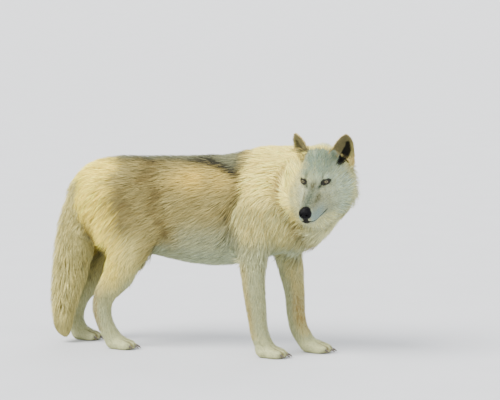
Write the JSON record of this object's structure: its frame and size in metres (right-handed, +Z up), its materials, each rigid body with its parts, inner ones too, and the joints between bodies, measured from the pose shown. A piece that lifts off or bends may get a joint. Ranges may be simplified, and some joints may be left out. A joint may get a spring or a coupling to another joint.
{
  "type": "arctic wolf",
  "caption": "Life-size arctic wolf in thick cream winter coat, standing still on its feet with tail hanging and head lowered and turned to its right.",
  "frame": {"origin": "on the floor under the middle of the bounding box: X and Y at its centre, Z at the soles", "axes": "+X the way the trunk points, +Y the wolf's left, +Z up; the face looks along -Y"},
  "size_m": [1.2372, 0.439, 0.8168],
  "materials": {
    "coat": "dense cream and grey fur, matt",
    "eye": "wet, clear gloss over a yellow-grey iris",
    "nose": "black, finely grained, slightly moist",
    "claw": "dark horn, satin"
  },
  "bodies": {
    "root": {"trunk": "coat", "neck": "coat", "head": "coat", "tail": "coat", "foreleg_left": "coat", "foreleg_right": "coat", "hindleg_left": "coat", "hindleg_right": "coat", "paw_foreleg_left": "coat", "paw_foreleg_right": "coat", "paw_hindleg_left": "coat", "paw_hindleg_right": "coat", "ear_left": "coat", "ear_right": "coat", "eye_left": "eye", "eye_right": "eye", "nose": "nose", "claw_foreleg_left_1": "claw", "claw_foreleg_left_2": "claw", "claw_foreleg_left_3": "claw", "claw_foreleg_left_4": "claw", "claw_foreleg_right_1": "claw", "claw_foreleg_right_2": "claw", "claw_foreleg_right_3": "claw", "claw_foreleg_right_4": "claw", "claw_hindleg_left_1": "claw", "claw_hindleg_left_2": "claw", "claw_hindleg_left_3": "claw", "claw_hindleg_left_4": "claw", "claw_hindleg_right_1": "claw", "claw_hindleg_right_2": "claw", "claw_hindleg_right_3": "claw", "claw_hindleg_right_4": "claw"}
  },
  "joints": []
}
